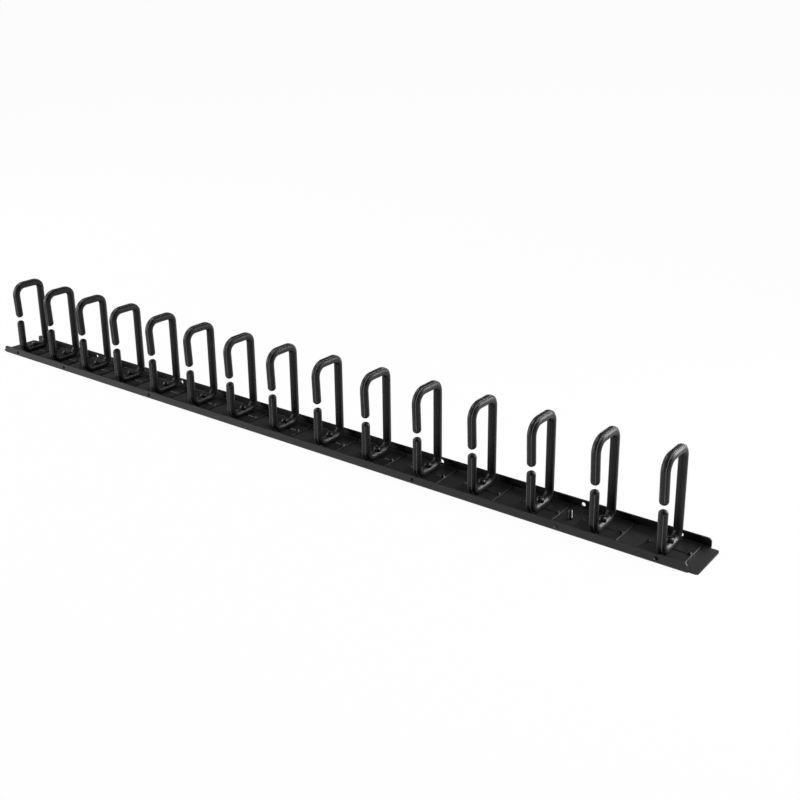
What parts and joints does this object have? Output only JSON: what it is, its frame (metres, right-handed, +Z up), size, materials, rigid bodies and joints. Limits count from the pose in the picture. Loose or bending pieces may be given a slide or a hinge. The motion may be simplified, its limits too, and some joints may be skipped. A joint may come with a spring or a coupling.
{
  "type": "vertical cable manager",
  "caption": "Long black folded-steel channel with a row of open moulded D-rings that hold cables along the side of a rack.",
  "frame": {"origin": "under the middle of the channel, on its underside", "axes": "+X along the channel, -Y the side of the rings' mouths, +Z up from the channel floor"},
  "size_m": [0.908, 0.05, 0.091],
  "materials": {
    "channel": "satin",
    "ring": "satin",
    "stud": "satin"
  },
  "bodies": {
    "root": {"channel": "channel", "d_ring_01": "ring", "d_ring_02": "ring", "d_ring_03": "ring", "d_ring_04": "ring", "d_ring_05": "ring", "d_ring_06": "ring", "d_ring_07": "ring", "d_ring_08": "ring", "d_ring_09": "ring", "d_ring_10": "ring", "d_ring_11": "ring", "d_ring_12": "ring", "d_ring_13": "ring", "d_ring_14": "ring", "d_ring_15": "ring", "mounting_studs": "stud"}
  },
  "joints": []
}
